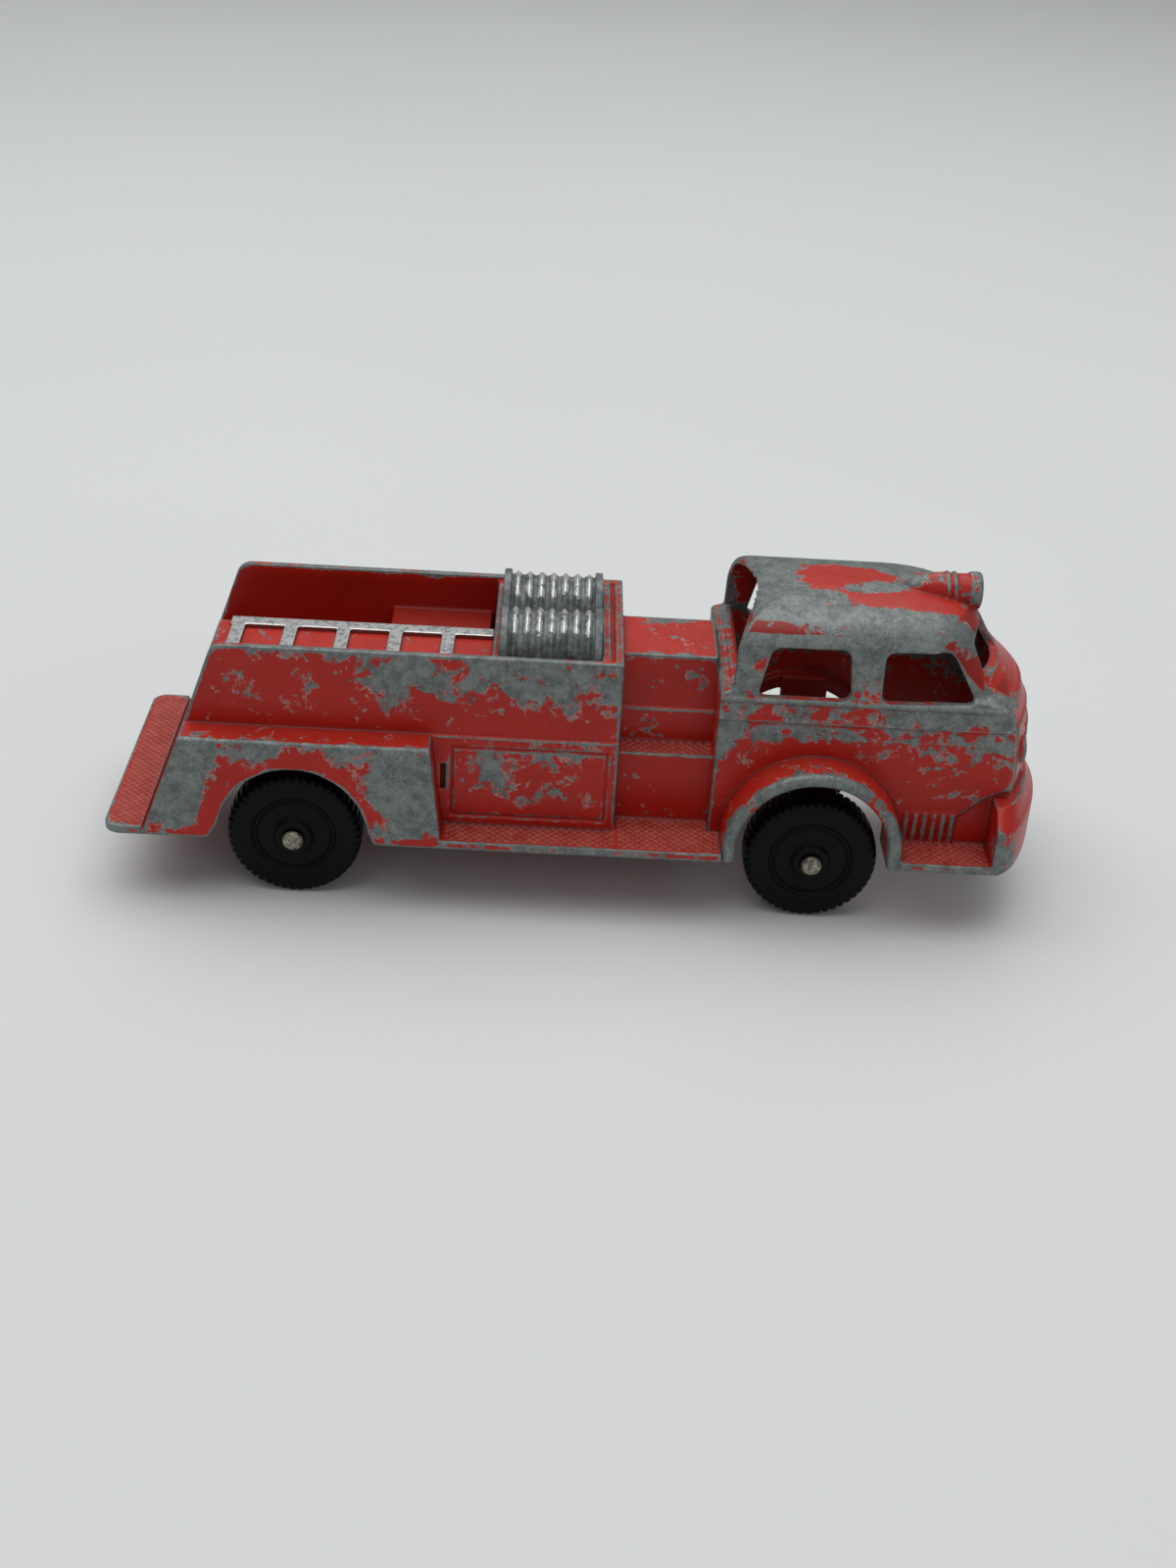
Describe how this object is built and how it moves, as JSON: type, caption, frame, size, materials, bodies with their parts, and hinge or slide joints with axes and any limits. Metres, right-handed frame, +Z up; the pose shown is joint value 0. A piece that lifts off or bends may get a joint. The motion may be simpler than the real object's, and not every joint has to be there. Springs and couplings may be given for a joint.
{
  "type": "toy fire engine",
  "caption": "Cast-metal toy fire engine with open cab, hose bed with cast ladder and reels, running boards, and free-turning rubber wheels on rod axles.",
  "frame": {"origin": "on the ground, under the middle of the truck's bounding box", "axes": "+X forward along the truck, +Y to its left, +Z up"},
  "size_m": [0.1768, 0.053, 0.0636],
  "materials": {
    "red_paint": "worn red enamel, chipped to bare grey zinc on edges and flats",
    "silver_paint": "sprayed silver paint, worn through on the high spots",
    "axle_steel": "dull, peened ends",
    "rubber": "matt black, dusty"
  },
  "bodies": {
    "casting": {"hose_body": "red_paint", "bed_locker": "red_paint", "hose_ladder": "silver_paint", "hose_reel_right": "silver_paint", "hose_reel_left": "silver_paint", "side_panel_right": "red_paint", "side_panel_left": "red_paint", "tail_panel": "red_paint", "rear_step": "red_paint", "rear_fender_right": "red_paint", "rear_fender_left": "red_paint", "running_board_right": "red_paint", "running_board_left": "red_paint", "pump_housing": "red_paint", "cab_shell": "red_paint", "roof_siren": "red_paint", "headlight_right": "silver_paint", "headlight_left": "silver_paint", "front_fender_right": "red_paint", "front_fender_left": "red_paint", "front_step_right": "red_paint", "front_step_left": "red_paint", "front_bumper": "red_paint", "front_axle_lugs": "red_paint", "rear_axle_lugs": "red_paint"},
    "front_axle": {"front_axle": "axle_steel"},
    "rear_axle": {"rear_axle": "axle_steel"},
    "wheel_front_right": {"wheel_front_right": "rubber"},
    "wheel_front_left": {"wheel_front_left": "rubber"},
    "wheel_rear_right": {"wheel_rear_right": "rubber"},
    "wheel_rear_left": {"wheel_rear_left": "rubber"}
  },
  "joints": [
    {"name": "front_axle_spin", "type": "hinge", "parent": "casting", "child": "front_axle", "pos_m": [0.04395, 0, 0.0127], "axis": [0, 1, 0], "continuous": true},
    {"name": "rear_axle_spin", "type": "hinge", "parent": "casting", "child": "rear_axle", "pos_m": [-0.05355, 0, 0.0127], "axis": [0, 1, 0], "continuous": true},
    {"name": "wheel_front_right_spin", "type": "hinge", "parent": "front_axle", "child": "wheel_front_right", "pos_m": [0.04395, -0.0195, 0.0127], "axis": [0, 1, 0], "continuous": true},
    {"name": "wheel_front_left_spin", "type": "hinge", "parent": "front_axle", "child": "wheel_front_left", "pos_m": [0.04395, 0.0195, 0.0127], "axis": [0, 1, 0], "continuous": true},
    {"name": "wheel_rear_right_spin", "type": "hinge", "parent": "rear_axle", "child": "wheel_rear_right", "pos_m": [-0.05355, -0.0195, 0.0127], "axis": [0, 1, 0], "continuous": true},
    {"name": "wheel_rear_left_spin", "type": "hinge", "parent": "rear_axle", "child": "wheel_rear_left", "pos_m": [-0.05355, 0.0195, 0.0127], "axis": [0, 1, 0], "continuous": true}
  ]
}
